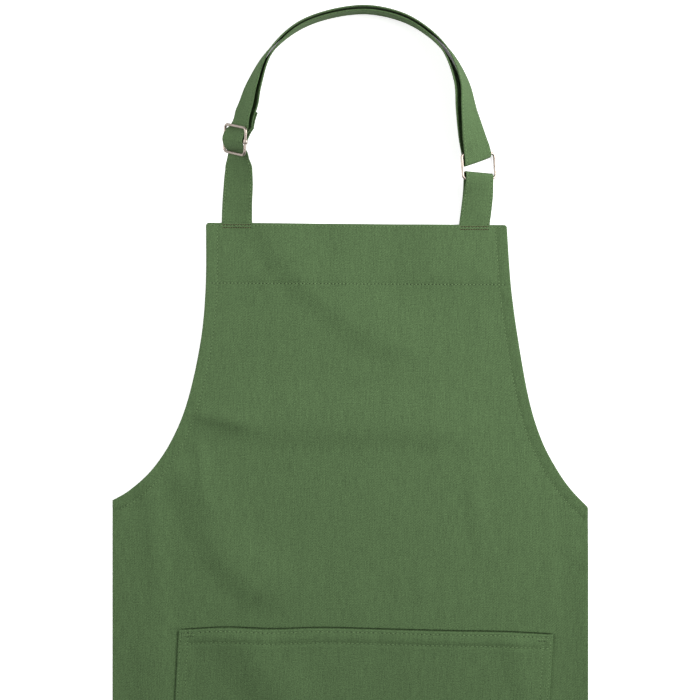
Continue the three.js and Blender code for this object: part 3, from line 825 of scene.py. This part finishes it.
# The slider has turned on the strap, a little about an upright line and more in its own plane
SLIDER_SHIFT = Vector((-0.6, 0, 0))
slider_middle = neck_frame(slider_at)
upright = Matrix.Rotation(math.radians(5), 4, "Z")
in_plane = Matrix.Rotation(math.radians(-14), 4, "Z")
slider_turn = upright @ slider_middle.to_3x3().to_4x4() @ in_plane
slider_place = Matrix.Translation(slider_middle.translation + SLIDER_SHIFT) @ slider_turn
slider = finished("slider_wire", wire_rectangle(SLIDER, slider_place), plate)
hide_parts("slider_frame")

COLLAR = {"bore": 1.75, "radius": 2.35, "length": 4}
bm = bmesh.new()
wall = COLLAR["radius"] - COLLAR["bore"]
for side in (-1, 1):
    middle = Vector((side * SLIDER["width"] / 2, 0, 0))
    corners = bmesh.ops.create_grid(bm, x_segments=1, y_segments=1, size=0.5)["verts"]
    bmesh.ops.scale(bm, vec=(wall, COLLAR["length"], 1), verts=corners)
    bmesh.ops.translate(bm, vec=middle + Vector((COLLAR["bore"] + wall / 2, 0, 0)), verts=corners)
    rim = list({edge for vert in corners for edge in vert.link_edges})
    patch = list({made for vert in corners for made in vert.link_faces})
    bmesh.ops.delete(bm, geom=patch, context="FACES_ONLY")
    bmesh.ops.spin(
        bm, geom=[*corners, *rim], cent=middle, axis=(0, 1, 0), angle=2 * math.pi, steps=20, use_merge=True)
bmesh.ops.recalc_face_normals(bm, faces=bm.faces)
sharp = [edge for edge in bm.edges if edge.calc_face_angle(0) > 1]
bmesh.ops.bevel(bm, geom=sharp, offset=0.25, segments=2, profile=0.5, affect="EDGES", material=-1)
bmesh.ops.create_cone(
    bm, cap_ends=True, segments=16, radius1=BAR / 2, radius2=BAR / 2,
    depth=SLIDER["width"] - COLLAR["bore"] - COLLAR["radius"], matrix=Matrix.Rotation(math.pi / 2, 4, "Y"))
for made in bm.faces:
    made.smooth = len(made.verts) < 5
bmesh.ops.transform(bm, matrix=slider_place, verts=bm.verts)
slider_bar = finished("slider_crossbar", bm, plate)
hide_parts("slider_bar")

# Studio: a white floor and a soft box at each side of the bib, the right one twice as strong, as flat
# things are lit for copying. The camera looks straight down on the bib from 2.4 m.

FLOOR_HEIGHT = -0.0003
CAMERA_HEIGHT = 2.4
VIEW_WIDTH = 0.7
VIEW_MIDDLE = SHIFT + Vector((-0.0002, -0.126, 0))

bm = bmesh.new()
bmesh.ops.create_grid(bm, x_segments=1, y_segments=1, size=6)
bmesh.ops.translate(bm, vec=(0, 0, FLOOR_HEIGHT), verts=bm.verts)
mesh = bpy.data.meshes.new("floor")
bm.to_mesh(mesh)
bm.free()
table_top = bpy.data.materials.new("white_acrylic")
table_top.use_nodes = True
surface = table_top.node_tree.nodes["Principled BSDF"]
surface.inputs["Base Color"].default_value = linear(0xF4F4F4)
surface.inputs["Roughness"].default_value = 0.95
surface.inputs["Specular IOR Level"].default_value = 0.1
surface.inputs["Emission Color"].default_value = (1, 1, 1, 1)
tree = table_top.node_tree
# The floor looks whiter than the light it gives, but not in the gap between the strap's layers
seen = add(tree, "ShaderNodeLightPath", {})["Is Camera Ray"]
clearing = add(tree, "ShaderNodeAmbientOcclusion", {"Distance": 0.03}, samples=8)["AO"]
bare = add(tree, "ShaderNodeMapRange", {
    "Value": clearing, "From Min": 0.1, "From Max": 0.35, "To Max": 0.6})["Result"]
glow = add(tree, "ShaderNodeMath", {0: seen, 1: bare}, operation="MULTIPLY")["Value"]
tree.links.new(glow, surface.inputs["Emission Strength"])
mesh.materials.append(table_top)
floor = bpy.data.objects.new("floor", mesh)
bpy.context.scene.collection.objects.link(floor)

world = bpy.data.worlds.new("dim_room")
world.use_nodes = True
world.node_tree.nodes["Background"].inputs["Color"].default_value = (1, 1, 1, 1)
world.node_tree.nodes["Background"].inputs["Strength"].default_value = 0.16
bpy.context.scene.world = world

for side, watts in ((1, 25), (-1, 12.5)):
    lamp = bpy.data.lights.new("soft_box", "AREA")
    lamp.size = 1.0
    lamp.energy = watts
    soft_box = bpy.data.objects.new("soft_box", lamp)
    soft_box.location = VIEW_MIDDLE + Vector((side * 1.05, 0.35, 0.8))
    soft_box.rotation_euler = (VIEW_MIDDLE - soft_box.location).to_track_quat("-Z", "Y").to_euler()
    bpy.context.scene.collection.objects.link(soft_box)

lens = bpy.data.cameras.new("camera")
lens.sensor_width = 36
lens.lens = 36 * CAMERA_HEIGHT / VIEW_WIDTH
camera = bpy.data.objects.new("camera", lens)
camera.location = VIEW_MIDDLE + Vector((0, 0, CAMERA_HEIGHT))
bpy.context.scene.collection.objects.link(camera)
bpy.context.scene.camera = camera
bpy.context.scene.view_settings.view_transform = "Standard"
